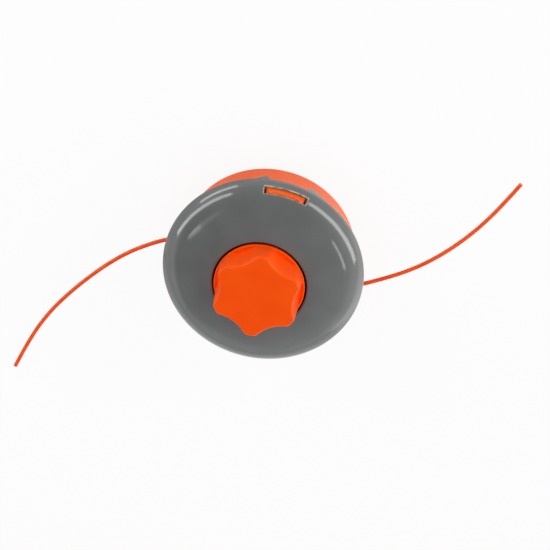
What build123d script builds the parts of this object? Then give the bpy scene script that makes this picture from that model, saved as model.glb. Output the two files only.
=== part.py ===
"""Tap-feed trimmer head: a moulded housing and a latched, domed cover around a sprung spool and its knob.

Millimetres. +Z runs along the axis from the machine to the knob, and the hub's seat is at Z = 0.
The latch window lies on -Y, the pocket of the hook opposite it on +Y, and the line eyelets on +X and -X.
"""

from build123d import *

import os
from math import atan2, cos, degrees, hypot, pi, radians, sin, sqrt, tan

# Cover: radii, and heights above the back edge of its rim
COVER_R = 58.0
COVER_WALL = 2.4
RIM_LAND = 1.0
SHOULDER_IN = 4.8
SHOULDER_RISE = 7.6
DOME_RISE = 18.2
DOME_CROWN = 3.0
RIM_ROUND = 3.0
SHOULDER_ROUND = 26.0
HOLE_R = 26.8
HOLE_ROUND = 0.9
COLLAR_STEP = 1.1
COLLAR_DROP = 6.7

# Housing
RIM_Z = 35.0
HUB_R = 18.0
HUB_RISE = 4.0
PLATE_T = 3.0
BACK_IN = 7.0
BACK_ROUND = 2.5
WALL_DRAFT = 0.4
HOUSING_WALL = 2.5
SPIGOT_IN = 7.4
FLANGE_BEHIND = 1.2
FLANGE_RISE = 2.6
POST_WALL = 1.76
POST_BORE_R = 6.0
POST_DROP = 1.6
RIB_COUNT = 8
RIB_T = 2.0
RIB_RISE = 3.0
RIB_TIP_RISE = 0.8
RIB_END_IN = 6.0

# Latch window, the tongue in it, the hook's pocket opposite, and the pointed ears on the rim beside them
WINDOW_HALF_DEG = 13.2
WINDOW_RISE = 6.0
WINDOW_LENGTH = 4.4
LATCH_HALF_DEG = 11.7
LATCH_RECESS = 1.2
POCKET_SKIN = 1.7
LATCH_DEPTH = 5.0
LATCH_SLOT = 1.5
EAR_DEG = 12.7
EAR_HEIGHT = 4.4
EAR_STEEP_RUN = 2.2
EAR_SHORT_RUN = 6.0
EAR_LONG_RUN = 11.0

# Arbor insert: hexagon across flats, and the minor radius of an M10 x 1.25 left-hand thread
INSERT_FLATS = 16.0
INSERT_LENGTH = 21.5
INSERT_SUNK = 0.5
THREAD_MINOR_R = 4.324
THREAD_LEAD_IN = 1.0

# Line and its eyelets
LINE_D = 2.4
EYELET_DROP = 11.5
EYELET_BORE_R = 2.6
EYELET_BODY_R = 3.8
EYELET_FLANGE_R = 5.2
EYELET_FLANGE_T = 1.2
EYELET_LIP_R = 4.6
EYELET_LIP_T = 0.8
EYELET_ROUND = 0.9

# Spool, washer and spring
SPOOL_CLEAR = 3.6
FLANGE_T = 1.8
DIVIDER_T = 1.6
DRUM_R = 24.0
DRUM_WALL = 2.2
WEB_T = 2.2
WEB_DROP = 1.3
GUIDE_WALL = 2.4
GUIDE_SHORT = 1.0
NECK_WALL = 3.2
WINDING_SHY = 2.1
ANCHOR_R = 1.5
NOTCH_WIDTH = 2.2
NOTCH_DEPTH = 5.0
WASHER_T = 1.2
WASHER_OVERHANG = 2.8
WIRE_D = 1.4
SPRING_OFF = 2.2
SPRING_TURNS = 5.5

# Ratchet rings on the cover, the spool and the housing
TOOTH_COUNT = 12
TOOTH_RISE = 1.6
TOOTH_RUN = 9.0
TOOTH_LAND = 1.0
RATCHET_WIDTH = 2.8

# Bump knob
KNOB_GAP = 1.0
KNOB_BASE_T = 2.0
KNOB_SUNK = 0.4
KNOB_LEDGE = 0.4
KNOB_DRAFT = 0.1
KNOB_LIP_T = 1.1
KNOB_LIP_RISE = 0.8
KNOB_RISE = 14.4
KNOB_WALL = 2.4
LOBE_COUNT = 6
LOBE_PHASE = 36.5
SCALLOP_R = 22.0
VALLEY_FACE_R = 20.9
VALLEY_LIP = 2.5
LOBE_ROUND = 3.0
FACE_ROUND = 1.5
NECK_STEP = 0.6
LEG_COUNT = 3
LEG_T = 2.2
LEG_REACH = 5.4
LEG_ROOT = 4.6
LEG_HALF_DEG = 11.0
HOOK_OUT = 1.7
HOOK_T = 1.5

# Travel and clearances. JOIN is how far a feature is sunk into the piece that it is moulded on
PRESS_TRAVEL = 6.0
SEAT_GAP = 0.3
RUN_FIT = 0.06
TURN_GAP = 0.35
RATCHET_GAP = 0.4
WINDING_GAP = 0.15
SPRING_GAP = 0.05
JOIN = 0.5

# Free line from inside each eyelet to its cut end, in the plane of the eyelets
LINE_LEFT_ROUTE = [
    (45.9, -1.0), (50.6, 0.3), (57.2, 3.0), (66.4, 9.2), (77.1, 18.0), (87.2, 29.1),
    (97.0, 42.3), (106.6, 57.2), (115.6, 73.8), (123.4, 95.3), (128.4, 117.3),
]
LINE_RIGHT_ROUTE = [
    (-45.9, 1.0), (-50.6, -0.3), (-57.2, -3.3), (-66.3, -9.5), (-76.6, -17.1), (-86.3, -25.8),
    (-95.5, -36.3), (-104.0, -48.4), (-111.4, -61.4), (-118.0, -76.2), (-123.6, -91.3),
]
ARC_SHARE = 0.45

# Levels along the axis that follow from the sizes above
PLATE_Z = HUB_RISE + PLATE_T
HOLE_Z = RIM_Z + DOME_RISE
EYELET_Z = RIM_Z - EYELET_DROP
WINDOW_Z = RIM_Z + WINDOW_RISE
INSERT_TOP = INSERT_SUNK + INSERT_LENGTH
COLLAR_Z = HOLE_Z - COLLAR_DROP
SPOOL_TOP = COLLAR_Z - 2 * TOOTH_RISE - RATCHET_GAP
SPOOL_FOOT = PLATE_Z + 2 * TOOTH_RISE + SEAT_GAP + PRESS_TRAVEL
CHANNEL = (SPOOL_TOP - SPOOL_FOOT - 2 * FLANGE_T - DIVIDER_T) / 2
LOWER_CHANNEL_Z = SPOOL_FOOT + FLANGE_T
UPPER_CHANNEL_Z = LOWER_CHANNEL_Z + CHANNEL + DIVIDER_T
WEB_TOP = SPOOL_TOP - WEB_DROP
WEB_FOOT = WEB_TOP - WEB_T
WASHER_TOP = WEB_FOOT - SEAT_GAP
WASHER_FOOT = WASHER_TOP - WASHER_T
KNOB_SEAT = HOLE_Z - KNOB_SUNK
KNOB_FOOT = KNOB_SEAT - KNOB_BASE_T
KNOB_FACE = KNOB_SEAT + KNOB_RISE
LEG_FOOT = KNOB_FOOT - LEG_REACH
POST_TOP = KNOB_FOOT - POST_DROP

# Radii that follow from the sizes above
SHOULDER_R = COVER_R - SHOULDER_IN
BACK_R = COVER_R - BACK_IN
SPIGOT_R = COVER_R - SPIGOT_IN
CUP_R = SPIGOT_R - HOUSING_WALL
POST_R = INSERT_FLATS / sqrt(3) + POST_WALL
GUIDE_BORE = POST_R + RUN_FIT
SPRING_R = POST_R + SPRING_OFF
WASHER_R = SPRING_R + WASHER_OVERHANG
SPOOL_R = CUP_R - SPOOL_CLEAR
WINDING_R = SPOOL_R - WINDING_SHY
DRUM_BORE = DRUM_R - DRUM_WALL
RATCHET_INNER_R = HOLE_R + COLLAR_STEP
RATCHET_R = RATCHET_INNER_R + RATCHET_WIDTH
KNOB_BASE_R = HOLE_R - KNOB_GAP
KNOB_FOOT_R = KNOB_BASE_R - KNOB_LEDGE
KNOB_FACE_R = KNOB_FOOT_R - KNOB_DRAFT
VALLEY_BASE_R = KNOB_FOOT_R - VALLEY_LIP
NECK_R = KNOB_BASE_R - NECK_STEP
NECK_BORE = NECK_R - NECK_WALL
LEG_R = NECK_BORE - SEAT_GAP
EYELET_SEAT_R = sqrt(BACK_R**2 - (EYELET_FLANGE_R + SEAT_GAP) ** 2)

# The cover's sloping band between rim and shoulder: its fall for each mm of rise, and its outward direction
BAND_RISE = SHOULDER_RISE - RIM_LAND
BAND_FALL = SHOULDER_IN / BAND_RISE
OUT_R = BAND_RISE / hypot(SHOULDER_IN, BAND_RISE)
OUT_Z = SHOULDER_IN / hypot(SHOULDER_IN, BAND_RISE)
LATCH_SIDE = -90.0
HOOK_SIDE = 90.0


def turned(corners, arc=360.0):
    """Solid turned about Z from a closed outline of (radius, height) corners."""
    outline = Polyline(*[(r, 0, z) for r, z in corners], close=True)
    return revolve(make_face(outline), Axis.Z, arc)


def sector(corners, half_deg, middle_deg):
    """Part of a turned ring, half_deg to each side of middle_deg."""
    return Rot(0, 0, middle_deg - half_deg) * turned(corners, 2 * half_deg)


def ring(inner, outer, foot, top):
    """Plain ring about Z."""
    return turned([(inner, foot), (outer, foot), (outer, top), (inner, top)])


def facing_out(radius, height):
    """Plane square to +X at this radius: its x runs along +Y and its y along +Z."""
    return Plane(origin=(radius, 0, height), x_dir=(0, 1, 0), z_dir=(1, 0, 0))


def band_r(rise):
    """Outer radius of the cover's sloping band at a height above the rim."""
    return COVER_R - (rise - RIM_LAND) * BAND_FALL


def band_section(half_along, out_from, out_to):
    """Corners, as (radius, height), of a block set square to the band at the window's middle."""
    middle_r = band_r(WINDOW_RISE)
    steps = [(-half_along, out_from), (half_along, out_from), (half_along, out_to), (-half_along, out_to)]
    corners = []
    for along, out in steps:
        corners.append((middle_r + out * OUT_R - along * OUT_Z, WINDOW_Z + out * OUT_Z + along * OUT_R))
    return corners


def ratchet_teeth(base_z, rise):
    """Ring of one-way face teeth that stand on base_z, or hang from it where rise is negative."""
    root = -JOIN if rise > 0 else JOIN
    half = TOOTH_RUN / 2
    corners = [(-half, root), (half, root), (half, rise), (half - TOOTH_LAND, rise), (-half, 0)]
    outline = Polyline(*corners, close=True)
    tooth = extrude(facing_out(RATCHET_INNER_R, base_z) * make_face(outline), RATCHET_WIDTH)
    return [Rot(0, 0, 360 * n / TOOTH_COUNT) * tooth for n in range(TOOTH_COUNT)]


def dome_region():
    """Half section of the cover's outer form above its rim, carried past the axis and below the rim."""
    below, past = -DOME_RISE, -HOLE_R
    apex = DOME_RISE + DOME_CROWN
    rim_corner = (COVER_R, RIM_LAND)
    shoulder = (SHOULDER_R, SHOULDER_RISE)
    outline = Polyline((past, apex), (past, below), (COVER_R, below), rim_corner, shoulder)
    outline += ThreePointArc(shoulder, (HOLE_R, DOME_RISE), (0, apex))
    outline += Line((0, apex), (past, apex))
    region = make_face(outline)
    for corner, radius in ((rim_corner, RIM_ROUND), (shoulder, SHOULDER_ROUND)):
        near = region.vertices().sort_by_distance(Vertex(corner[0], corner[1], 0))[0]
        region = fillet(near, radius)
    return region


def section_box(inner, outer, foot, top):
    """Rectangle in the half section, between two radii and two heights."""
    return Pos((inner + outer) / 2, (foot + top) / 2) * Rectangle(outer - inner, top - foot)


def rim_ear(side, run, middle_deg):
    """Block that keeps a pointed ear behind the rim: steep towards the window, sloping away from it."""
    ear_at = side * COVER_R * sin(radians(EAR_DEG))
    steep, slope = -side * EAR_STEEP_RUN, side * run
    outline = Polyline((ear_at + steep, 0), (ear_at, -EAR_HEIGHT), (ear_at + slope, 0), close=True)
    return Rot(0, 0, middle_deg) * extrude(facing_out(0, RIM_Z) * make_face(outline), 2 * COVER_R)


def make_lower_cover():
    """Domed cover: rim with ears, band, dome, knob hole, ratchet collar, latch window and hook pocket."""
    outer = dome_region()
    skirt = 2 * EAR_HEIGHT
    shell = (outer - offset(outer, -COVER_WALL)) & section_box(HOLE_R, 2 * COVER_R, -skirt, 2 * DOME_RISE)
    collar = outer & section_box(RATCHET_INNER_R, RATCHET_R, COLLAR_Z - RIM_Z, DOME_RISE)
    cover = revolve(Pos(0, 0, RIM_Z) * (Plane.XZ * (shell + collar)), Axis.Z)
    mouth = [e for e in cover.edges().filter_by(GeomType.CIRCLE) if abs(e.radius - HOLE_R) < RUN_FIT]
    cover = fillet(max(mouth, key=lambda e: e.center().Z), HOLE_ROUND)
    cover += ratchet_teeth(COLLAR_Z, -TOOTH_RISE)
    trim = ring(SHOULDER_R, 2 * COVER_R, RIM_Z - 2 * skirt, RIM_Z)
    window = band_section(WINDOW_LENGTH / 2, -2 * COVER_WALL, 2 * COVER_WALL)
    pocket = band_section(WINDOW_LENGTH / 2, -2 * COVER_WALL, -POCKET_SKIN)
    for middle, cut in ((LATCH_SIDE, window), (HOOK_SIDE, pocket)):
        trim -= [rim_ear(1, EAR_SHORT_RUN, middle), rim_ear(-1, EAR_LONG_RUN, middle)]
        cover -= sector(cut, WINDOW_HALF_DEG, middle)
    return cover - trim


def hexagon(foot, top):
    """Hexagonal prism of the arbor insert."""
    return Pos(0, 0, foot) * extrude(RegularPolygon(INSERT_FLATS / sqrt(3), 6), top - foot)


def eyelet_place(outwards):
    """Place of an eyelet: its origin on the seat, its axis pointing out of the wall."""
    return Rot(0, 0, 0 if outwards > 0 else 180) * Pos(EYELET_SEAT_R, 0, EYELET_Z) * Rot(0, 90, 0)


def housing_outline():
    """Half section of the housing, as (radius, height) corners from the hub's middle round to the post."""
    inner_top_r = band_r(FLANGE_RISE) - COVER_WALL / OUT_R - SEAT_GAP
    flange_r = COVER_R - COVER_WALL - SEAT_GAP
    flange_side = (flange_r - inner_top_r) / BAND_FALL
    flange_top = RIM_Z + FLANGE_RISE
    slope = (DOME_RISE - SHOULDER_RISE) / (SHOULDER_R - HOLE_R)
    spigot_rise = SHOULDER_RISE + (SHOULDER_R - SPIGOT_R) * slope - COVER_WALL * hypot(1, slope)
    spigot_top = RIM_Z + spigot_rise - SEAT_GAP
    return [
        (0, 0), (HUB_R, 0), (HUB_R, HUB_RISE), (BACK_R, HUB_RISE),
        (BACK_R + WALL_DRAFT, RIM_Z - FLANGE_BEHIND), (flange_r, RIM_Z - FLANGE_BEHIND),
        (flange_r, flange_top - flange_side), (inner_top_r, flange_top),
        (SPIGOT_R, flange_top), (SPIGOT_R, spigot_top), (CUP_R, spigot_top), (CUP_R, PLATE_Z),
        (POST_R, PLATE_Z), (POST_R, POST_TOP), (0, POST_TOP),
    ]


def back_ribs():
    """Ribs on the back plate, tapering from the hub towards the edge."""
    hub_end, tip_end = HUB_R - JOIN, BACK_R - RIB_END_IN
    root = HUB_RISE + JOIN
    outline = Polyline(
        (hub_end, 0, HUB_RISE - RIB_RISE), (tip_end, 0, HUB_RISE - RIB_TIP_RISE),
        (tip_end, 0, root), (hub_end, 0, root), close=True,
    )
    rib = extrude(make_face(outline), RIB_T / 2, both=True)
    return [Rot(0, 0, 360 * (n + 0.5) / RIB_COUNT) * rib for n in range(RIB_COUNT)]


def make_upper_housing():
    """Cup with hub, centre post, back ribs, flange under the cover's rim, spigot, latch tongue and hook."""
    housing = turned(housing_outline())
    back_edge = [e for e in housing.edges().filter_by(GeomType.CIRCLE) if abs(e.radius - BACK_R) < RUN_FIT]
    housing = fillet(min(back_edge, key=lambda e: e.center().Z), BACK_ROUND)
    housing += back_ribs()
    housing += ratchet_teeth(PLATE_Z, TOOTH_RISE)
    slot_foot = RIM_Z + FLANGE_RISE
    slot = Pos(SPIGOT_R, 0, slot_foot + DOME_RISE / 2) * Box(3 * HOUSING_WALL, LATCH_SLOT, DOME_RISE)
    slot_deg = LATCH_HALF_DEG + degrees(LATCH_SLOT / 2 / CUP_R)
    half_along = WINDOW_LENGTH / 2 - SEAT_GAP
    tongue = band_section(half_along, -LATCH_DEPTH, -LATCH_RECESS)
    hook = band_section(half_along, -LATCH_DEPTH, -POCKET_SKIN - SEAT_GAP)
    for middle, catch in ((LATCH_SIDE, tongue), (HOOK_SIDE, hook)):
        housing -= [Rot(0, 0, middle + slot_deg) * slot, Rot(0, 0, middle - slot_deg) * slot]
        housing += sector(catch, LATCH_HALF_DEG, middle)
    housing -= hexagon(-JOIN, INSERT_TOP)
    housing -= ring(0, POST_BORE_R, INSERT_TOP - JOIN, POST_TOP + JOIN)
    seat = ring(0, EYELET_BODY_R, -4 * HOUSING_WALL, JOIN)
    seat += ring(0, EYELET_FLANGE_R + SEAT_GAP, 0, 4 * EYELET_FLANGE_T)
    housing -= [eyelet_place(1) * seat, eyelet_place(-1) * seat]
    return housing


def make_drive_insert():
    """Hexagonal steel insert with the thread's minor bore and a lead-in at its mouth."""
    mouth_r = THREAD_MINOR_R + THREAD_LEAD_IN
    lead_top = INSERT_SUNK + THREAD_LEAD_IN
    bore = [
        (0, INSERT_SUNK - JOIN), (mouth_r + JOIN, INSERT_SUNK - JOIN), (THREAD_MINOR_R, lead_top),
        (THREAD_MINOR_R, INSERT_TOP + JOIN), (0, INSERT_TOP + JOIN),
    ]
    return hexagon(INSERT_SUNK, INSERT_TOP) - turned(bore)


def make_eyelet(outwards):
    """Turned ferrule: a flange on the outside flat, a body through the wall and a lip inside it."""
    lip = sqrt(CUP_R**2 - EYELET_LIP_R**2) - SEAT_GAP - EYELET_SEAT_R
    inside = lip - EYELET_LIP_T
    mouth_r = EYELET_BORE_R + EYELET_ROUND
    outline = [
        (mouth_r, inside), (EYELET_LIP_R, inside), (EYELET_LIP_R, lip), (EYELET_BODY_R, lip),
        (EYELET_BODY_R, 0), (EYELET_FLANGE_R, 0), (EYELET_FLANGE_R, EYELET_FLANGE_T),
        (mouth_r, EYELET_FLANGE_T), (EYELET_BORE_R, EYELET_FLANGE_T - EYELET_ROUND),
        (EYELET_BORE_R, inside + EYELET_ROUND),
    ]
    return eyelet_place(outwards) * turned(outline)


def leg_angles():
    """Directions of the snap legs, each under a valley of the knob."""
    return [LOBE_PHASE + 180 / LOBE_COUNT + 360 * n / LEG_COUNT for n in range(LEG_COUNT)]


def make_spool():
    """Two-channel spool with a guide tube, web, ratchet rings, neck for the knob and line anchors."""
    guide_r, guide_top = GUIDE_BORE + GUIDE_WALL, KNOB_FOOT - GUIDE_SHORT
    upper_flange, divider = SPOOL_TOP - FLANGE_T, UPPER_CHANNEL_Z - DIVIDER_T
    outline = [
        (GUIDE_BORE, WEB_FOOT), (GUIDE_BORE, guide_top), (guide_r, guide_top), (guide_r, WEB_TOP),
        (NECK_BORE, WEB_TOP), (NECK_BORE, KNOB_FOOT), (NECK_R, KNOB_FOOT), (NECK_R, SPOOL_TOP),
        (SPOOL_R, SPOOL_TOP), (SPOOL_R, upper_flange), (DRUM_R, upper_flange), (DRUM_R, UPPER_CHANNEL_Z),
        (SPOOL_R, UPPER_CHANNEL_Z), (SPOOL_R, divider), (DRUM_R, divider), (DRUM_R, LOWER_CHANNEL_Z),
        (SPOOL_R, LOWER_CHANNEL_Z), (SPOOL_R, SPOOL_FOOT), (DRUM_BORE, SPOOL_FOOT), (DRUM_BORE, WEB_FOOT),
    ]
    spool = turned(outline)
    spool += ratchet_teeth(SPOOL_TOP, TOOTH_RISE)
    spool += ratchet_teeth(SPOOL_FOOT, -TOOTH_RISE)
    for turn, channel_z in ((0, LOWER_CHANNEL_Z), (180, UPPER_CHANNEL_Z)):
        anchor = Pos(DRUM_R, 0, channel_z + CHANNEL / 2) * Rot(0, 90, 0) * Cylinder(ANCHOR_R, 3 * DRUM_WALL)
        spool -= Rot(0, 0, turn) * anchor
    for turn, flange_z in ((90, SPOOL_FOOT), (270, upper_flange)):
        notch = Pos(SPOOL_R, 0, flange_z + FLANGE_T / 2) * Box(2 * NOTCH_DEPTH, NOTCH_WIDTH, 2 * FLANGE_T)
        spool -= Rot(0, 0, turn) * notch
    window_foot, window_top = LEG_FOOT - SEAT_GAP, LEG_FOOT + HOOK_T + SEAT_GAP
    window = [
        (NECK_BORE - JOIN, window_foot), (NECK_R + JOIN, window_foot),
        (NECK_R + JOIN, window_top), (NECK_BORE - JOIN, window_top),
    ]
    window_half_deg = LEG_HALF_DEG + degrees(SEAT_GAP / LEG_R)
    spool -= [sector(window, window_half_deg, middle) for middle in leg_angles()]
    return spool


def make_winding(channel_z):
    """Wound line in one channel: a ring with one ridge for each turn of the outer layer."""
    turns = int((CHANNEL - 2 * WINDING_GAP) / LINE_D)
    foot = channel_z + (CHANNEL - turns * LINE_D) / 2
    inner, valley = DRUM_R + WINDING_GAP, WINDING_R - LINE_D / 2
    corners = [(inner, foot)]
    for n in range(turns):
        base = foot + n * LINE_D
        corners += [(valley, base), (WINDING_R, base + LINE_D / 4), (WINDING_R, base + LINE_D * 3 / 4)]
    corners += [(valley, foot + turns * LINE_D), (inner, foot + turns * LINE_D)]
    return turned(corners)


def make_thrust_washer():
    """Steel washer between the spring and the spool."""
    return ring(POST_R + TURN_GAP, WASHER_R, WASHER_FOOT, WASHER_TOP)


def make_spring():
    """Open compression spring around the post, between the back plate and the washer."""
    foot = PLATE_Z + SPRING_GAP + WIRE_D / 2
    height = WASHER_FOOT - SPRING_GAP - WIRE_D / 2 - foot
    path = Helix(height / SPRING_TURNS, height, SPRING_R)
    section = Plane(origin=path @ 0, z_dir=path % 0) * RegularPolygon(WIRE_D / 2, 4)
    return Pos(0, 0, foot) * sweep(section, path, is_frenet=True)


def scallop_cutters(grown):
    """Leaning round cutters of the knob's valleys, grown for the inside of its wall."""
    lean = atan2(VALLEY_BASE_R - VALLEY_FACE_R, KNOB_RISE)
    cutter = Rot(0, -degrees(lean), 0) * Cylinder(SCALLOP_R + grown, 6 * KNOB_RISE)
    cutter = Pos(VALLEY_FACE_R + SCALLOP_R / cos(lean), 0, KNOB_FACE) * cutter
    return [Rot(0, 0, LOBE_PHASE + 360 * (n + 0.5) / LOBE_COUNT) * cutter for n in range(LOBE_COUNT)]


def make_bump_knob():
    """Hollow scalloped knob on a round base, with snap legs that hook into the spool's neck."""
    body = turned([(0, KNOB_SEAT), (KNOB_FOOT_R, KNOB_SEAT), (KNOB_FACE_R, KNOB_FACE), (0, KNOB_FACE)])
    body -= scallop_cutters(0)
    flanks = [e for e in body.edges() if e.bounding_box().size.Z > KNOB_RISE - JOIN]
    body = fillet(flanks, LOBE_ROUND)
    body = fillet(body.faces().sort_by(Axis.Z)[-1].edges(), FACE_ROUND)
    hollow_top = KNOB_FACE - KNOB_WALL
    hollow = turned([
        (0, KNOB_FOOT - JOIN), (KNOB_FOOT_R - KNOB_WALL, KNOB_FOOT - JOIN),
        (KNOB_FACE_R - KNOB_WALL, hollow_top), (0, hollow_top),
    ])
    hollow -= scallop_cutters(KNOB_WALL)
    base = ring(0, KNOB_BASE_R, KNOB_FOOT, KNOB_SEAT)
    base += ring(KNOB_BASE_R - KNOB_LIP_T, KNOB_BASE_R, KNOB_SEAT, KNOB_SEAT + KNOB_LIP_RISE)
    knob = body + base - hollow
    inner, hook_r = LEG_R - LEG_T, LEG_R + HOOK_OUT
    leg = [
        (inner, LEG_FOOT), (LEG_R, LEG_FOOT), (hook_r, LEG_FOOT + HOOK_T / 2), (hook_r, LEG_FOOT + HOOK_T),
        (LEG_R, LEG_FOOT + HOOK_T), (LEG_R, KNOB_SEAT + LEG_ROOT), (inner, KNOB_SEAT + LEG_ROOT),
    ]
    return knob + [sector(leg, LEG_HALF_DEG, middle) for middle in leg_angles()]


def make_line(name, route):
    """Nylon line: straight runs joined by arcs as large as the runs allow."""
    points = [Vector(x, y, EYELET_Z) for x, y in route]
    runs = [b - a for a, b in zip(points, points[1:])]
    radii = []
    for before, after in zip(runs, runs[1:]):
        half_turn = radians(before.get_angle(after) / 2)
        radii.append(ARC_SHARE * min(before.length, after.length) / tan(half_turn))
    path = FilletPolyline(*points, radius=radii)
    tube = sweep(Plane(origin=path @ 0, z_dir=path % 0) * Circle(LINE_D / 2), path)
    expected = pi * (LINE_D / 2) ** 2 * path.length
    print(name, "length", round(path.length, 1), "volume", round(tube.volume, 1), "of", round(expected, 1))
    print(name, "radii", [round(r) for r in radii])
    return tube


parts = {
    "upper_housing": make_upper_housing(),
    "lower_cover": make_lower_cover(),
    "drive_insert": make_drive_insert(),
    "line_eyelet_left": make_eyelet(1),
    "line_eyelet_right": make_eyelet(-1),
    "spool": make_spool(),
    "line_winding_lower": make_winding(LOWER_CHANNEL_Z),
    "line_winding_upper": make_winding(UPPER_CHANNEL_Z),
    "thrust_washer": make_thrust_washer(),
    "compression_spring": make_spring(),
    "bump_knob": make_bump_knob(),
    "line_left": make_line("line_left", LINE_LEFT_ROUTE),
    "line_right": make_line("line_right", LINE_RIGHT_ROUTE),
}
os.makedirs("parts", exist_ok=True)
for name, shape in parts.items():
    export_step(shape, f"parts/{name}.step")
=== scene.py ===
# %% [markdown]
# # A tap-feed trimmer head
# The head of a string trimmer, seen from the side that taps the ground: a grey domed cover, an orange knob
# in its middle, the orange housing behind it and two ends of nylon line.
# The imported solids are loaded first, in metres, and stay where they are. Each step below makes one piece as
# a smooth surface of the same size in its place, or gives a solid a better finish.

import bmesh
import bpy
import numpy as np
from mathutils import Matrix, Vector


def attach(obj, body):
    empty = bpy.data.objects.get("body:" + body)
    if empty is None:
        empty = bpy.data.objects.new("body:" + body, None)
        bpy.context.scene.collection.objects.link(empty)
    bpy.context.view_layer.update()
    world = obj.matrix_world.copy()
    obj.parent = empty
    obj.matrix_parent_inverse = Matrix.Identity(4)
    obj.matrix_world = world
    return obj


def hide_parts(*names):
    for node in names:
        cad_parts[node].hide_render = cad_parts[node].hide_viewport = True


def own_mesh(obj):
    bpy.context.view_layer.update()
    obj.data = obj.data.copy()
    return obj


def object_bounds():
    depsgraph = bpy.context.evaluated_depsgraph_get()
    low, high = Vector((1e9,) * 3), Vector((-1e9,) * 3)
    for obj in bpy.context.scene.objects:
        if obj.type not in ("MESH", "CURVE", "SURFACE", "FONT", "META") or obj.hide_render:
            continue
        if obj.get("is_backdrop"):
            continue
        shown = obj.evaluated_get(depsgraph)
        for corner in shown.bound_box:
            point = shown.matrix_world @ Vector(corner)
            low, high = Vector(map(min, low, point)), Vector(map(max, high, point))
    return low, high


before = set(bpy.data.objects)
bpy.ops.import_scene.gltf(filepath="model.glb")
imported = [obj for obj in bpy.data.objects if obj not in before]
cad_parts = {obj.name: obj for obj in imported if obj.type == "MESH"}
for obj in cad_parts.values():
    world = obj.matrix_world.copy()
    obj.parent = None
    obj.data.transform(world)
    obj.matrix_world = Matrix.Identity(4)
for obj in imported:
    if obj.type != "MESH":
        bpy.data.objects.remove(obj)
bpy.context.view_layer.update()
MM = 0.001
print("solids:", ", ".join(sorted(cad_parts)))

# %% [markdown]
# ## Camera
# A circle seen at a slant is an ellipse, and its two widths give the slant: the cover's rim shows that the
# camera looked down at about 61 degrees. The line between the two eyelets gives the roll.
# A Track To constraint could aim the camera, but the roll would need a second step. Here the camera's matrix
# is written out: its columns are the picture's right, its up and the direction back towards the eye.

# %% Camera
TILT = np.radians(28.5)  # between the camera's line of sight and the head's axis
ROUND = np.radians(3.0)  # how far round the axis the camera stands from -Y
ROLL = np.radians(13.45)  # turn of the picture about the line of sight
DISTANCE = 0.9  # from the eye to the rim's centre, in m
FRAME_PX = 550.0  # width of the picture
FOCUS_PX = 1572.0  # focal length in the same pixels
SENSOR_MM = 36.0
RIM_CENTRE = np.array([0.0, 0.0, 35.0]) * MM
RIM_CENTRE_PX = np.array([262.8, 270.9])  # where the rim's centre falls in the picture

about_axis = np.array(
    [[np.cos(ROUND), -np.sin(ROUND), 0], [np.sin(ROUND), np.cos(ROUND), 0], [0, 0, 1]]
)
level_right = np.array([-1.0, 0.0, 0.0])
level_down = np.array([0.0, np.cos(TILT), np.sin(TILT)])
forward = about_axis @ np.array([0.0, np.sin(TILT), -np.cos(TILT)])
right = about_axis @ (np.cos(ROLL) * level_right - np.sin(ROLL) * level_down)
down = about_axis @ (np.sin(ROLL) * level_right + np.cos(ROLL) * level_down)
off_x, off_y = (RIM_CENTRE_PX - FRAME_PX / 2) / FOCUS_PX
eye = RIM_CENTRE - DISTANCE * (forward + off_x * right + off_y * down)

camera_data = bpy.data.cameras.new("photo_camera")
camera_data.sensor_width = SENSOR_MM
camera_data.lens = SENSOR_MM * FOCUS_PX / FRAME_PX
camera = bpy.data.objects.new("photo_camera", camera_data)
bpy.context.scene.collection.objects.link(camera)
view_axes = np.column_stack([right, -down, -forward, eye])
camera.matrix_world = Matrix(np.vstack([view_axes, [0, 0, 0, 1]]).tolist())
bpy.context.scene.camera = camera
print("camera at", np.round(eye / MM), "mm, lens", round(camera_data.lens, 1), "mm")

# %% [markdown]
# ## Nylon line
# Trimmer line is extruded nylon, 2.4 mm thick here. It is stiff: cut this short it springs out of its eyelet
# and keeps the set that it took on the spool, so each end curves by itself and hardly sags.
# It could be a mesh tube, but a NURBS curve with a round bevel stays smooth at any zoom and has few numbers
# to change: each stretch of the spline is a weighted mean of three neighbouring points of the route.

# %% Nylon line
LINE_D = 2.4 * MM
LINE_Z = 23.5 * MM
# Routes in the plane of the eyelets, from inside the eyelet to the cut end
LEFT_ROUTE = np.array([
    (45.9, -1.0), (50.6, 0.3), (57.2, 3.0), (66.4, 9.2), (77.1, 18.0), (87.2, 29.1),
    (97.0, 42.3), (106.6, 57.2), (115.6, 73.8), (123.4, 95.3), (128.4, 117.3),
]) * MM
RIGHT_ROUTE = np.array([
    (-45.9, 1.0), (-50.6, -0.3), (-57.2, -3.3), (-66.3, -9.5), (-76.6, -17.1), (-86.3, -25.8),
    (-95.5, -36.3), (-104.0, -48.4), (-111.4, -61.4), (-118.0, -76.2), (-123.6, -91.3),
]) * MM


def nylon_line(name, route):
    """Round tube along one open NURBS spline of order 3 in the plane of the eyelets. Blender multiplies the
    bevel's depth by each point's radius, and grows the curve's box by that radius, so the points carry it."""
    curve = bpy.data.curves.new(name, "CURVE")
    curve.dimensions = "3D"
    curve.bevel_depth = 1.0
    curve.bevel_resolution = 5
    curve.use_fill_caps = True
    spline = curve.splines.new("NURBS")
    spline.points.add(len(route) - 1)
    places = np.column_stack([route, np.full(len(route), LINE_Z), np.ones(len(route))])
    spline.points.foreach_set("co", places.ravel())
    spline.points.foreach_set("radius", np.full(len(route), LINE_D / 2))
    spline.order_u = 3
    spline.use_endpoint_u = True
    spline.resolution_u = 10
    made = bpy.data.objects.new(name, curve)
    bpy.context.scene.collection.objects.link(made)
    return made


left_line = nylon_line("nylon_line_left", LEFT_ROUTE)
right_line = nylon_line("nylon_line_right", RIGHT_ROUTE)
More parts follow.
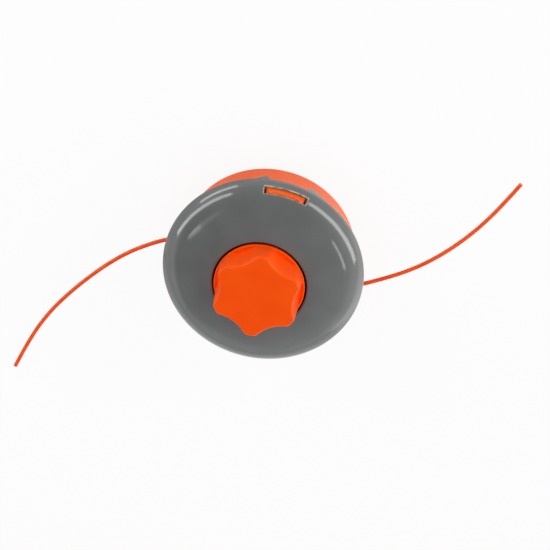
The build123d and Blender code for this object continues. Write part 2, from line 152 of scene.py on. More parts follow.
# Piece, solid, point where it leaves the eyelet and length, both in m
LINES = (
    (left_line, "line_left", (0.0519, 0.0008, LINE_Z), 0.1503),
    (right_line, "line_right", (-0.0519, -0.0008, LINE_Z), 0.1249),
)
for line, node_name, mouth, length in LINES:
    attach(line, "housing")
    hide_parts(node_name)
    print(line.name, "leaves its eyelet at", mouth)

# %% [markdown]
# ## Finishes
# Colours are picked on a screen as sRGB codes, while shaders work with linear light, so one function turns
# the first into the second. Patterns read Object coordinates, which are metres here, so a noise with a scale
# of 1000 / n has features n mm wide. One function adds a node with its settings and its links, and three
# small ones add the nodes that come back often: a noise, a change of range and a sum.

# %% Colours
def linear(code):
    """sRGB hex to linear RGBA: c / 12.92 below 0.04045, and ((c + 0.055) / 1.055) ** 2.4 above it."""
    share = np.array([int(code[n:n + 2], 16) for n in (0, 2, 4)]) / 255
    light = np.where(share <= 0.04045, share / 12.92, ((share + 0.055) / 1.055) ** 2.4)
    return (*light.tolist(), 1.0)


print("half grey on the screen is", round(linear("808080")[0], 3), "in linear light")


# %% Node helpers
def add(tree, kind, settings=None, values=None, links=None):
    """Adds a node to a tree: settings are its properties, values and links go to inputs by name or number."""
    made = tree.nodes.new(kind)
    for key, value in (settings or {}).items():
        setattr(made, key, value)
    for key, value in (values or {}).items():
        made.inputs[key].default_value = value
    for key, socket in (links or {}).items():
        tree.links.new(socket, made.inputs[key])
    return made


def new_finish(name):
    """Empty material: returns it, its tree, its Principled shader and the Object coordinates."""
    finish = bpy.data.materials.new(name)
    finish.use_nodes = True
    tree = finish.node_tree
    place = add(tree, "ShaderNodeTexCoord").outputs["Object"]
    return finish, tree, tree.nodes["Principled BSDF"], place


def noise(tree, place, wide_mm, detail):
    """Value of a noise with features wide_mm across."""
    values = {"Scale": 1000 / wide_mm, "Detail": detail}
    return add(tree, "ShaderNodeTexNoise", values=values, links={"Vector": place}).outputs["Fac"]


def ranged(tree, socket, low, high, near=0.3, far=0.7, smooth=False):
    """Carries a value from the range near to far onto the range low to high, and stops at its ends."""
    return add(
        tree, "ShaderNodeMapRange", settings={"interpolation_type": "SMOOTHSTEP" if smooth else "LINEAR"},
        values={"From Min": near, "From Max": far, "To Min": low, "To Max": high},
        links={"Value": socket},
    ).outputs["Result"]


def maths(tree, operation, *terms, clamp=False):
    """Result of a Math node. Each term is a number or the output of another node."""
    made = add(tree, "ShaderNodeMath", settings={"operation": operation, "use_clamp": clamp})
    for number, term in enumerate(terms):
        if isinstance(term, bpy.types.NodeSocket):
            tree.links.new(term, made.inputs[number])
        else:
            made.inputs[number].default_value = term
    return made.outputs[0]


def two_tone(tree, socket, low, high, near=0.35, far=0.65):
    """Colour ramp from low to high between two values of a pattern."""
    ramp = add(tree, "ShaderNodeValToRGB", links={"Fac": socket})
    ramp.color_ramp.elements[0].position = near
    ramp.color_ramp.elements[1].position = far
    ramp.color_ramp.elements[0].color = linear(low)
    ramp.color_ramp.elements[1].color = linear(high)
    return ramp.outputs["Color"]


print("a noise with features 4 mm wide has a scale of", 1000 / 4)

# %% [markdown]
# ### Moulded plastics
# Cover, knob, housing and spool are injection moulded. A polished mould leaves a skin that is nearly smooth:
# it mirrors the lamps softly, with a slight ripple from shrinking (a bump a few mm wide) and tiny changes of
# gloss. The colour runs through the plastic and varies a little where the melt flowed.

# %% Moulded plastics
FLOW_MM, GRAIN_MM = 22, 0.9  # width of the clouds of colour and of the spots of gloss


def moulded(name, low, high, rough_low, rough_high, ripple_mm, ripple_depth_mm):
    """Moulded plastic: slow colour change from the melt's flow, changing gloss and a shallow ripple."""
    finish, tree, shader, place = new_finish(name)
    colour = two_tone(tree, noise(tree, place, FLOW_MM, 3.0), low, high)
    tree.links.new(colour, shader.inputs["Base Color"])
    gloss = ranged(tree, noise(tree, place, GRAIN_MM, 4.0), rough_low, rough_high)
    tree.links.new(gloss, shader.inputs["Roughness"])
    relief = add(
        tree, "ShaderNodeBump", values={"Strength": 1.0, "Distance": ripple_depth_mm * MM},
        links={"Height": noise(tree, place, ripple_mm, 2.0)},
    )
    tree.links.new(relief.outputs["Normal"], shader.inputs["Normal"])
    return finish, shader


# Grey ABS from a polished mould, almost as smooth as glass: clear, soft-edged reflections of the lamps
cover_finish, cover_shader = moulded("abs_moulded_grey_gloss", "5F6161", "656767", 0.08, 0.13, 4.0, 0.0012)
cover_shader.inputs["IOR"].default_value = 1.54

# Impact-modified nylon in signal orange: satin, because it rubs on the ground, so lamps show as broad sheens
knob_finish, knob_shader = moulded("nylon_moulded_orange_knob", "F84A00", "FD5204", 0.44, 0.49, 2.5, 0.004)
knob_shader.inputs["IOR"].default_value = 1.53
knob_shader.inputs["Specular IOR Level"].default_value = 0.45
knob_shader.inputs["Specular Tint"].default_value = linear("FFC078")

# The same nylon from a mould with a finely blasted face: an even, soft orange with a pale sheen at its edge
housing_finish, housing_shader = moulded(
    "nylon_moulded_orange_housing", "E8570F", "EE5F13", 0.38, 0.5, 1.2, 0.012
)
housing_shader.inputs["IOR"].default_value = 1.53
housing_shader.inputs["Specular Tint"].default_value = linear("FFE8D2")

# Black acetal: slippery, slightly waxy and matte
spool_finish, spool_shader = moulded("acetal_moulded_black", "141415", "1B1B1C", 0.45, 0.58, 1.5, 0.010)
spool_shader.inputs["IOR"].default_value = 1.48
print("moulded finishes:", cover_finish.name, knob_finish.name, housing_finish.name, spool_finish.name)

# %% [markdown]
# ### Drawn nylon and metals
# The line is pressed through a die and drawn, so it is smooth, with faint clouds of colour and spots of
# gloss. The insert is machined steel, spring and washer are plain steel, and the eyelets are turned
# aluminium. The tool leaves lines on each. Real ones are about 0.1 mm apart, too fine to show here, so they
# are drawn coarser, 0.4 to 0.8 mm apart. A Wave node has 20 / (2 pi) waves in each unit, which its scale
# allows for.

# %% Drawn nylon
CLOUD_MM, SPOT_MM = 6, 0.5


def drawn_nylon(name, low, high):
    """Drawn nylon: clouds of colour a few mm long, and small spots of more and less gloss."""
    finish, tree, shader, place = new_finish(name)
    colour = two_tone(tree, noise(tree, place, CLOUD_MM, 2.0), low, high)
    tree.links.new(colour, shader.inputs["Base Color"])
    gloss = ranged(tree, noise(tree, place, SPOT_MM, 2.0), 0.34, 0.42)
    tree.links.new(gloss, shader.inputs["Roughness"])
    shader.inputs["IOR"].default_value = 1.53
    shader.inputs["Specular IOR Level"].default_value = 0.3
    shader.inputs["Specular Tint"].default_value = linear("FFC89A")
    return finish


# Orange nylon: a satin line whose sheen stays orange, because light comes back from under its skin
line_finish = drawn_nylon("nylon_drawn_orange_line", "EE4E1C", "F25A24")
for line in (left_line, right_line):
    line.data.materials.append(line_finish)
print("line finish:", line_finish.name)


# %% Metals
def tooled_metal(name, low, high, rough_low, rough_high, mark_mm, axis):
    """Bare metal with lines mark_mm apart across one axis, from the tool that cut or drew it."""
    finish, tree, shader, place = new_finish(name)
    wave = add(
        tree, "ShaderNodeTexWave", settings={"bands_direction": axis},
        values={
            "Scale": 1000 * 2 * np.pi / (20 * mark_mm), "Distortion": 1.5, "Detail": 2.0, "Detail Scale": 1.5,
        },
        links={"Vector": place},
    ).outputs["Fac"]
    tree.links.new(two_tone(tree, wave, low, high, 0.1, 0.9), shader.inputs["Base Color"])
    tree.links.new(ranged(tree, wave, rough_low, rough_high, 0.0, 1.0), shader.inputs["Roughness"])
    relief = add(
        tree, "ShaderNodeBump", values={"Strength": 0.4, "Distance": 0.01 * MM}, links={"Height": wave}
    )
    tree.links.new(relief.outputs["Normal"], shader.inputs["Normal"])
    shader.inputs["Metallic"].default_value = 1.0
    return finish


# Machined steel: bright grey with lines round the axis
insert_finish = tooled_metal("steel_machined_bright", "9A9B9D", "B4B5B7", 0.25, 0.4, 0.6, "Z")
# Drawn spring wire, and the plain washer: darker and duller, with broader lines
spring_finish = tooled_metal("steel_spring_wire", "85868A", "A3A4A8", 0.3, 0.42, 0.8, "Z")
# Turned aluminium: the palest and glossiest, with close rings
eyelet_finish = tooled_metal("aluminium_turned", "C4C6C9", "D9DADC", 0.22, 0.34, 0.4, "X")
print("metal finishes:", insert_finish.name, spring_finish.name, eyelet_finish.name)

# %% [markdown]
# ## Surfaces from arrays
# A grid of points becomes a mesh when each point is joined to its neighbour in the row and in the next row.
# The corner numbers of all quads can be worked out at once as one array. After that the doubled points on
# seams and poles are merged, normals are turned outwards and edges sharper than a limit are kept crisp.

# %% Mesh helpers
def quads(rows, columns, first=0, closed=False):
    """Corner numbers of a grid's quads as (row, column, 4). Columns join into a ring, and rows too if
    closed."""
    row, column = np.meshgrid(np.arange(rows if closed else rows - 1), np.arange(columns), indexing="ij")
    up, beside = (row + 1) % rows, (column + 1) % columns
    corners = [row * columns + column, row * columns + beside, up * columns + beside, up * columns + column]
    return first + np.stack(corners, axis=-1)


def turned_points(radius, height, angles):
    """Points (radius cos a, radius sin a, height): a profile, or one for each angle, carried round Z."""
    radius, height = np.broadcast_arrays(radius, height)
    x, y = radius * np.cos(angles), radius * np.sin(angles)
    return np.stack([x, y, np.broadcast_to(height, x.shape)], axis=-1)


def volume_mm3(mesh):
    """Sum over triangles of a . (b x c) / 6, which is the volume inside a closed mesh."""
    mesh.calc_loop_triangles()
    corners = np.empty(len(mesh.loop_triangles) * 3, np.int32)
    mesh.loop_triangles.foreach_get("vertices", corners)
    places = np.empty(len(mesh.vertices) * 3, np.float32)
    mesh.vertices.foreach_get("co", places)
    a, b, c = places.reshape(-1, 3).astype(float)[corners.reshape(-1, 3)].transpose(1, 0, 2)
    return float(np.einsum("ij,ij->", a, np.cross(b, c)) / 6 / MM**3)


def smooth_mesh(mesh, sharp_deg):
    """Merges doubles, turns faces outwards, and shades smooth except across edges sharper than sharp_deg."""
    work = bmesh.new()
    work.from_mesh(mesh)
    bmesh.ops.remove_doubles(work, verts=work.verts, dist=0.002 * MM)
    bmesh.ops.recalc_face_normals(work, faces=work.faces)
    work.to_mesh(mesh)
    work.free()
    mesh.polygons.foreach_set("use_smooth", np.ones(len(mesh.polygons), bool))
    mesh.set_sharp_from_angle(angle=np.radians(sharp_deg))


def new_piece(name, shells, finish, body, node_name, sharp_deg=40):
    """Mesh object from closed shells of (points in mm, quads), riding on a body in place of a solid."""
    starts = np.cumsum([0] + [len(points.reshape(-1, 3)) for points, _ in shells])
    places = np.concatenate([points.reshape(-1, 3) for points, _ in shells]) * MM
    corners = np.concatenate([faces.reshape(-1, 4) + start for (_, faces), start in zip(shells, starts)])
    mesh = bpy.data.meshes.new(name)
    mesh.from_pydata(places.tolist(), [], corners.tolist())
    smooth_mesh(mesh, sharp_deg)
    mesh.materials.append(finish)
    made = bpy.data.objects.new(name, mesh)
    bpy.context.scene.collection.objects.link(made)
    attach(made, body)
    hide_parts(node_name)
    solid_mm3 = volume_mm3(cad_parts[node_name].data)
    print(name, len(mesh.polygons), "faces,", round(volume_mm3(mesh)), "mm3, solid", round(solid_mm3), "mm3")
    return made


def soften(piece, width_mm, sharp_deg=45):
    """Bevel modifier that rounds each edge sharper than sharp_deg, as a mould's edges are."""
    bevel = piece.modifiers.new("softened_edges", "BEVEL")
    bevel.limit_method = "ANGLE"
    bevel.angle_limit = np.radians(sharp_deg)
    bevel.width = width_mm * MM
    bevel.segments = 3


print("a tube of 3 rings of 4 points has", quads(3, 4).reshape(-1, 4).shape[0], "quads")

# %% [markdown]
# ## Cover
# The cover is one moulding: a thin shell that starts with a short upright rim, slopes in as a band, turns
# over a round shoulder and rises as a shallow dome to the knob's hole. A window in the band shows the
# housing's latch tongue, a blind pocket opposite takes its hook, and pointed ears on the rim's back edge help
# to line it up. A collar inside, with slanted teeth, holds the spool until the knob is pressed.
# A Screw modifier and Booleans could make it. Here its half section is an outline of straight runs and arcs,
# carried round the axis on a grid whose lines pass through the window's corners. Leaving out the quads in the
# window then cuts it cleanly, with no Boolean, and strips join its edges through the wall.

# %% Cover outline
COVER_R, WALL, HOLE_R = 58.0, 2.4, 26.8
RIM_Z, DOME_RISE, DOME_CROWN = 35.0, 18.2, 3.0
RIM_CORNER, SHOULDER = np.array([COVER_R, 1.0]), np.array([53.2, 7.6])
RIM_ROUND, SHOULDER_ROUND, HOLE_ROUND = 3.0, 26.0, 0.9
WINDOW_RISE, WINDOW_LENGTH, WINDOW_HALF_DEG = 6.0, 4.4, 13.2


def circle_through(a, b, c):
    """Centre and radius of the circle through three points: equal distances give two linear equations."""
    sides = 2 * np.array([b - a, c - a])
    centre = np.linalg.solve(sides, [b @ b - a @ a, c @ c - a @ a])
    return centre, np.linalg.norm(a - centre)


def rounded(corners, radii, steps=13):
    """Outline with an arc at each inner corner: from the arc's centre, the directions to its two touching
    points are mixed by sines (slerp), so the arc touches both sides. Radius 0 leaves the corner."""
    corners, radii = np.asarray(corners, float), np.asarray(radii, float)[:, None]
    at = corners[1:-1]
    back, on = corners[:-2] - at, corners[2:] - at
    back /= np.linalg.norm(back, axis=1, keepdims=True)
    on /= np.linalg.norm(on, axis=1, keepdims=True)
    half = np.arccos(np.clip(np.sum(back * on, axis=1, keepdims=True), -1, 1)) / 2
    middle = back + on
    middle /= np.maximum(np.linalg.norm(middle, axis=1, keepdims=True), 1e-9)
    centre = at + middle * radii / np.sin(half)
    start, end = at + back * radii / np.tan(half) - centre, at + on * radii / np.tan(half) - centre
    sweep = np.maximum(np.pi - 2 * half, 1e-6)[:, None]
    t = np.linspace(0, 1, steps)[None, :, None]
    mixed = np.sin((1 - t) * sweep) * start[:, None] + np.sin(t * sweep) * end[:, None]
    arcs = (centre[:, None] + mixed / np.sin(sweep)).reshape(-1, 2)
    outline = np.vstack([corners[:1], arcs, corners[-1:]])
    keep = np.append(True, np.linalg.norm(np.diff(outline, axis=0), axis=1) > 1e-6)
    return outline[keep]


def lengths(outline):
    """Length along an outline up to each of its points."""
    return np.append(0, np.cumsum(np.linalg.norm(np.diff(outline, axis=0), axis=1)))


def resampled(outline, marks):
    """Points of an outline at these lengths along it, read off straight between its own points."""
    return np.column_stack([np.interp(marks, lengths(outline), outline[:, n]) for n in (0, 1)])


hole_edge, crown = np.array([HOLE_R, DOME_RISE]), np.array([0, DOME_RISE + DOME_CROWN])
dome_centre, dome_r = circle_through(SHOULDER, hole_edge, crown)
dome_from = np.arctan2(*(SHOULDER - dome_centre)[::-1])
dome_to = np.arctan2(*(hole_edge - dome_centre)[::-1])
dome_turn = dome_from + (dome_to - dome_from) * np.linspace(0.22, 1, 42)
dome = dome_centre + dome_r * np.column_stack([np.cos(dome_turn), np.sin(dome_turn)])
start, start_rounds = [[COVER_R, 0.0], RIM_CORNER, SHOULDER], [RIM_ROUND, SHOULDER_ROUND]
skin = rounded(np.vstack([start, dome]), start_rounds + [0] * (len(dome) - 1), steps=25)
slope = np.gradient(skin, axis=0)
outward = np.column_stack([slope[:, 1], -slope[:, 0]]) / np.linalg.norm(slope, axis=1, keepdims=True)
outward *= np.sign(outward[0, 0])
inside = skin - WALL * outward
inside[0] = [COVER_R - WALL, 0.0]
inside = inside[inside[:, 0] >= HOLE_R]
inside = np.vstack([inside, [HOLE_R, inside[-1, 1] + 0.1]])
# The arc at the hole's edge needs a free run before it, so the dome's points there are left out
clear_dome = dome[dome[:, 0] > HOLE_R + 1.5 * HOLE_ROUND]
outside = np.vstack([start, clear_dome, dome[-1:], inside[-1:]])
outside = rounded(outside, start_rounds + [0] * len(clear_dome) + [HOLE_ROUND], steps=25)
print("cover outline:", len(outside), "points outside and", len(inside), "inside")
print("dome radius", round(dome_r, 1), "mm")

# %% Grid lines of the cover
LATCH_SIDE, HOOK_SIDE = np.radians(-90.0), np.radians(90.0)
EAR_AT, EAR_HEIGHT = COVER_R * np.sin(np.radians(12.7)), 4.4
EAR_RUNS = np.array([-EAR_AT - 11.0, -EAR_AT, -EAR_AT + 2.2, EAR_AT - 2.2, EAR_AT, EAR_AT + 6.0])
BAND_REACH, ABOVE_WINDOW, BEFORE_HOLE = 6.0, 4.0, 5.0
# Rows of quads below the window, along it, just above it, over the dome and before the hole
OUT_COUNTS, IN_COUNTS = [12, 12, 10, 24, 14], [6, 12, 4, 8, 3]
band = (SHOULDER - RIM_CORNER) / np.linalg.norm(SHOULDER - RIM_CORNER)
square_to_band = np.array([band[1], -band[0]])
window_middle = RIM_CORNER + band * (WINDOW_RISE - RIM_CORNER[1]) / band[1]


def cover_rows(outline, counts):
    """Rows of points up an outline, with one row on each long edge of the window, and those rows' numbers."""
    part = outline[:, 0] > SHOULDER[0] - BAND_REACH
    along = (outline[part] - window_middle) @ band
    foot, top = np.interp([-WINDOW_LENGTH / 2, WINDOW_LENGTH / 2], along, lengths(outline)[part])
    total = lengths(outline)[-1]
    stops = [0, foot, top, top + ABOVE_WINDOW, total - BEFORE_HOLE, total]
    steps = [np.linspace(a, b, n, endpoint=False) for a, b, n in zip(stops, stops[1:], counts)]
    return resampled(outline, np.append(np.concatenate(steps), total)), counts[0], counts[0] + counts[1]


def cover_angles():
    """Angles every degree, moved aside where a window's corner or an ear's point has its own."""
    ears = np.degrees(np.arcsin(EAR_RUNS / COVER_R))
    own = np.concatenate([ears, [-WINDOW_HALF_DEG, WINDOW_HALF_DEG]])
    own = np.concatenate([np.degrees(middle) + own for middle in (LATCH_SIDE, HOOK_SIDE)])
    plain = np.arange(-180, 180, 1.0)
    clear = np.abs(plain[:, None] - own[None, :]).min(axis=1) > 0.4
    return np.radians(np.sort(np.concatenate([plain[clear], own])))


def ear_drop(points):
    """How far the rim's back edge hangs down: peaks over the distance from the window's middle."""
    away = np.sign(points[..., 1]) * -points[..., 0]
    share = np.interp(away, EAR_RUNS, [0, 1, 0, 0, 1, 0])
    return EAR_HEIGHT * np.where(np.abs(points[..., 1]) > COVER_R / 3, share, 0)


angles = cover_angles()
columns = len(angles)
out_rows, out_foot, out_top = cover_rows(outside, OUT_COUNTS)
in_rows, in_foot, in_top = cover_rows(inside, IN_COUNTS)
out_points = turned_points(out_rows[:, :1], out_rows[:, 1:], angles)
in_points = turned_points(in_rows[:, :1], in_rows[:, 1:], angles)
out_points[0, :, 2] -= ear_drop(out_points[0])
in_points[0, :, 2] -= ear_drop(in_points[0])
print("cover grid:", len(out_rows), "rows outside and", len(in_rows), "inside, in", columns, "columns")

# %% Cover shell with its window and pocket
POCKET_DEEP = 0.9


def strip(one, other):
    """Quads between two lists of corner numbers of the same length."""
    return np.stack([one[:-1], one[1:], other[1:], other[:-1]], axis=1)


def window_columns(side):
    """Numbers of the columns at the two ends of the window, or of the pocket, on one side."""
    ends = np.radians([[-WINDOW_HALF_DEG, WINDOW_HALF_DEG]])
    return np.abs(angles[:, None] - side - ends).argmin(axis=0)


out_number = np.arange(len(out_rows) * columns).reshape(-1, columns)
in_number = np.arange(len(in_rows) * columns).reshape(-1, columns) + out_number.size
out_faces = quads(len(out_rows), columns)
in_faces = quads(len(in_rows), columns, first=out_number.size)
ring = np.append(np.arange(columns), 0)
strips = [strip(out_number[0, ring], in_number[0, ring])]

first, last = window_columns(LATCH_SIDE)
out_keep, in_keep = np.ones(out_faces.shape[:2], bool), np.ones(in_faces.shape[:2], bool)
out_keep[out_foot:out_top, first:last] = False
in_keep[in_foot:in_top, first:last] = False
across = np.arange(first, last + 1)
for out_row, in_row in ((out_foot, in_foot), (out_top, in_top)):
    strips.append(strip(out_number[out_row, across], in_number[in_row, across]))
up_out, up_in = np.arange(out_foot, out_top + 1), np.arange(in_foot, in_top + 1)
for edge in (first, last):
    strips.append(strip(out_number[up_out, edge], in_number[up_in, edge]))

first, last = window_columns(HOOK_SIDE)
pocket = np.s_[in_foot + 1:in_top, first + 1:last]
in_points[pocket] += POCKET_DEEP * turned_points(*square_to_band, angles)[first + 1:last]
cover_points = np.concatenate([out_points.reshape(-1, 3), in_points.reshape(-1, 3)]) + [0, 0, RIM_Z]
cover_faces = np.concatenate([out_faces[out_keep], in_faces[in_keep], *strips])
print("cover shell:", len(cover_points), "points,", len(cover_faces), "quads")

# %% Toothed collar and cover
COLLAR_IN, COLLAR_OUT, COLLAR_FOOT, COLLAR_TOP = 27.9, 30.7, 46.5, 51.1
TOOTH_COUNT, TOOTH_HALF, TOOTH_LAND, TOOTH_RISE = 12, 4.5, 1.0, 1.6
tooth_angles = np.radians(np.arange(0, 360, 0.5))
pitch = 2 * np.pi / TOOTH_COUNT
from_tooth = (tooth_angles + pitch / 2) % pitch - pitch / 2
tooth_run = COLLAR_IN * np.sin(from_tooth)
# A tooth slants up to its flat land, and the last 0.01 mm is its upright side
tooth_stops = [-TOOTH_HALF, TOOTH_HALF - TOOTH_LAND, TOOTH_HALF, TOOTH_HALF + 0.01]
hang = np.interp(tooth_run, tooth_stops, [0, 1, 1, 0])
collar_foot = COLLAR_FOOT - TOOTH_RISE * hang
collar_top = np.full_like(hang, COLLAR_TOP)
collar_r = np.array([[COLLAR_IN], [COLLAR_OUT], [COLLAR_OUT], [COLLAR_IN]])
collar_z = np.stack([collar_foot, collar_foot, collar_top, collar_top])
collar = (turned_points(collar_r, collar_z, tooth_angles), quads(4, len(tooth_angles), closed=True))
cover_shells = [(cover_points, cover_faces), collar]
cover = new_piece("domed_cover", cover_shells, cover_finish, "housing", "lower_cover")
soften(cover, 0.35)

# %% [markdown]
# The edges of the window carry a painted highlight: a pale line in the grey where its edges catch the light.
# A paint mask could show this, but here each point of the mesh carries a number, the share of painted
# highlight, which the finish reads as an attribute. The share falls off with the distance from the window,
# and is largest on the rim's side. A noise breaks the painted highlight up into patches.

# %% Painted highlight on the window's edges
# Painted highlight: how far it reaches from the window, and its share on the rim's side and on the other
# sides
HIGHLIGHT_REACH, HIGHLIGHT_RIM_SIDE, HIGHLIGHT_OTHER_SIDE = 0.5, 1.0, 0.7
skin_places = np.empty(len(cover.data.vertices) * 3, np.float32)
cover.data.vertices.foreach_get("co", skin_places)
x, y, z = skin_places.reshape(-1, 3).T / MM
from_latch = np.abs(np.arctan2(y, x) - LATCH_SIDE)
off_middle = np.column_stack([np.hypot(x, y), z - RIM_Z]) - window_middle
along, out = off_middle @ band, off_middle @ square_to_band
beside = np.maximum(from_latch - np.radians(WINDOW_HALF_DEG), 0) * COVER_R
beyond = np.maximum(np.abs(along) - WINDOW_LENGTH / 2, 0)
highlight_shares = np.clip(1 - np.hypot(beside, beyond) / HIGHLIGHT_REACH, 0, 1)
highlight_shares *= np.where(along < 0, HIGHLIGHT_RIM_SIDE, HIGHLIGHT_OTHER_SIDE)
highlight_shares[out < -WALL / 2] = 0
cover.data.attributes.new("edge_highlight", "FLOAT", "POINT").data.foreach_set("value", highlight_shares)
print("rubbed points round the window:", np.count_nonzero(highlight_shares))

# %% Painted highlight mixed into the cover's grey
HIGHLIGHT_PATCH_MM = 2.5
tree = cover_finish.node_tree
grey = cover_shader.inputs["Base Color"].links[0].from_socket
edge_highlight = add(tree, "ShaderNodeAttribute", settings={"attribute_name": "edge_highlight"}).outputs["Fac"]
place = add(tree, "ShaderNodeTexCoord").outputs["Object"]
highlight_patches = ranged(tree, noise(tree, place, HIGHLIGHT_PATCH_MM, 3.0), 0.25, 1.0, 0.4, 0.6)
# Inputs 0, 6 and 7 of a Mix node are its share and its two colours, and output 2 is the mixed colour
# Painted highlight: pale E6DFD6 is mixed into the grey where the share read from the mesh is high
highlighted_grey = add(
    tree, "ShaderNodeMix", settings={"data_type": "RGBA"}, values={7: linear("E6DFD6")},
    links={0: maths(tree, "MULTIPLY", edge_highlight, highlight_patches), 6: grey},
)
tree.links.new(highlighted_grey.outputs[2], cover_shader.inputs["Base Color"])
print("pale patches about", HIGHLIGHT_PATCH_MM, "mm wide")

# %% [markdown]
# ## Bump knob
# The knob is tapped on the ground to let line out, and its six lobes give the fingers a grip for winding.
# Between lobes a leaning round cutter has taken a scallop out of a slightly tapered body.
# Its radius at each angle and height is the smaller of the body's and the scallop's. A plain minimum would
# leave knife edges, so a soft minimum, -k log(exp(-a / k) + exp(-b / k)), rounds each lobe instead.
# Round its foot runs a low lip with a groove inside it, and three legs with hooks snap into the spool.

# %% Knob's radius
KNOB_SEAT, KNOB_RISE, KNOB_BASE_T = 52.8, 14.4, 2.0
KNOB_BASE_R, KNOB_FOOT_R, KNOB_FACE_R = 25.8, 25.4, 25.3
LIP_T, LIP_RISE = 1.1, 0.8
LOBES, LOBE_PHASE, SCALLOP_R = 6, np.radians(36.5), 22.0
VALLEY_FACE_R, VALLEY_BASE_R, KNOB_WALL = 20.9, 22.9, 2.4
FACE_ROUND, LOBE_SOFT = 1.5, 0.45
KNOB_FACE, KNOB_FOOT = KNOB_SEAT + KNOB_RISE, KNOB_SEAT - KNOB_BASE_T


def scallop_radius(angles, height, grown):
    """Distance from the axis to a leaning cylinder. Level cuts through it are ellipses, so the distance is
    the smaller root of a quadratic, and very large where the direction misses the ellipse."""
    lean = np.arctan2(VALLEY_BASE_R - VALLEY_FACE_R, KNOB_RISE)
    long, short = (SCALLOP_R + grown) / np.cos(lean), SCALLOP_R + grown
    centre = VALLEY_FACE_R + SCALLOP_R / np.cos(lean) + (KNOB_FACE - height) * np.tan(lean)
    pitch = 2 * np.pi / LOBES
    off = (angles - LOBE_PHASE) % pitch - pitch / 2
    a = (np.cos(off) / long) ** 2 + (np.sin(off) / short) ** 2
    b = centre * np.cos(off) / long**2
    under = b**2 - a * ((centre / long) ** 2 - 1)
    return np.where(under > 0, (b - np.sqrt(np.maximum(under, 0))) / a, 90.0)


def knob_radius(angles, height, shrink):
    """Soft minimum of the tapered body and the scallops, both moved in by shrink for the inside."""
    rise = (height - KNOB_SEAT) / KNOB_RISE
    body = KNOB_FOOT_R + (KNOB_FACE_R - KNOB_FOOT_R) * rise - shrink + 0 * angles
    valley = scallop_radius(angles, height, shrink)
    return -LOBE_SOFT * np.logaddexp(-body / LOBE_SOFT, -valley / LOBE_SOFT)


knob_angles = np.radians(np.arange(0, 360, 0.75))
every = np.ones_like(knob_angles)
face_widths = knob_radius(knob_angles, KNOB_FACE * every, 0)
print("knob's face reaches from", round(face_widths.min(), 1), "to", round(face_widths.max(), 1), "mm")

# %% Knob's lip and groove
BASE_SOFT, LIP_SOFT, ROW_APART = 0.4, 0.3, 0.02
LIP_TOP, LIP_IN = KNOB_SEAT + LIP_RISE, KNOB_BASE_R - LIP_T
foot_wall = knob_radius(knob_angles, np.array([[LIP_TOP]]), 0)
lip_edge = np.maximum(LIP_IN, foot_wall)
groove = np.maximum(LIP_IN - foot_wall, 0)
depth = np.minimum(LIP_RISE, 2.0 * groove)
bend = np.minimum(LIP_SOFT, groove / 3)
# Radius and height of each row: up the lip's outside, over its top, down into the groove and up again
lip_r = np.vstack([
    [every * r for r in (KNOB_BASE_R - BASE_SOFT, KNOB_BASE_R, KNOB_BASE_R, KNOB_BASE_R - 0.1)],
    np.maximum(KNOB_BASE_R - LIP_SOFT, foot_wall + 3 * ROW_APART),
    np.maximum(LIP_IN + LIP_SOFT, foot_wall + 2 * ROW_APART),
    np.maximum(LIP_IN + 0.1, foot_wall + ROW_APART),
    lip_edge,
    lip_edge - 0.3 * bend,
    lip_edge - bend,
    foot_wall + bend,
    foot_wall + 0.3 * bend,
])
lip_z = np.vstack([
    [every * z for z in (KNOB_FOOT, KNOB_FOOT + BASE_SOFT, LIP_TOP - LIP_SOFT)],
    [every * z for z in (LIP_TOP - 0.1, LIP_TOP, LIP_TOP)],
    LIP_TOP - np.minimum(0.1, depth / 6),
    LIP_TOP - np.minimum(LIP_SOFT, depth / 3),
    LIP_TOP - depth + 0.3 * bend,
    LIP_TOP - depth,
    LIP_TOP - depth,
    LIP_TOP - depth + 0.3 * bend,
])
print("groove inside the lip: up to", round(groove.max(), 2), "mm wide,", round(depth.max(), 2), "mm deep")

# %% Knob's wall, face and hollow
WALL_ROWS, EDGE_ROWS, FACE_ROWS, HOLLOW_ROWS = 28, 10, 12, 12
wall_foot, wall_top = LIP_TOP - depth[0] + bend[0], np.full_like(every, KNOB_FACE - FACE_ROUND)
wall_z = np.linspace(wall_foot, wall_top, WALL_ROWS)
wall_r = knob_radius(knob_angles, wall_z, 0)
face_arc = np.linspace(0, np.pi / 2, EDGE_ROWS + 1)[1:, None]
edge_z = KNOB_FACE - FACE_ROUND * (1 - np.sin(face_arc)) * every
edge_r = knob_radius(knob_angles, edge_z, 0) - FACE_ROUND * (1 - np.cos(face_arc))
face_r = edge_r[-1] * np.linspace(0.97, 0, FACE_ROWS)[:, None]
face_z = np.full((FACE_ROWS, 1), KNOB_FACE) * every
hollow_z = np.linspace(KNOB_FACE - KNOB_WALL, KNOB_FOOT, HOLLOW_ROWS)[:, None] * every
hollow_r = knob_radius(knob_angles, np.maximum(hollow_z, KNOB_SEAT), KNOB_WALL)
lid_r = hollow_r[0] * np.array([[0.0], [0.5]])
lid_z = np.full((2, 1), KNOB_FACE - KNOB_WALL) * every
knob_r = np.vstack([lid_r, hollow_r, lip_r, wall_r, edge_r, face_r])
knob_z = np.vstack([lid_z, hollow_z, lip_z, wall_z, edge_z, face_z])
knob_shell = (turned_points(knob_r, knob_z, knob_angles), quads(len(knob_r), len(knob_angles)))
print("knob shell:", len(knob_r), "rows of", len(knob_angles), "points")

# %% Snap legs and knob
LEG_SECTION = np.array([
    (19.5, 45.4), (21.7, 45.4), (23.4, 46.15), (23.4, 46.9), (21.7, 46.9), (21.7, 57.4),
    (19.5, 57.4), (19.5, 51.4),
])
LEG_HEART = (20.6, 47.2)
LEG_COUNT, LEG_HALF = 3, np.radians(11.0)


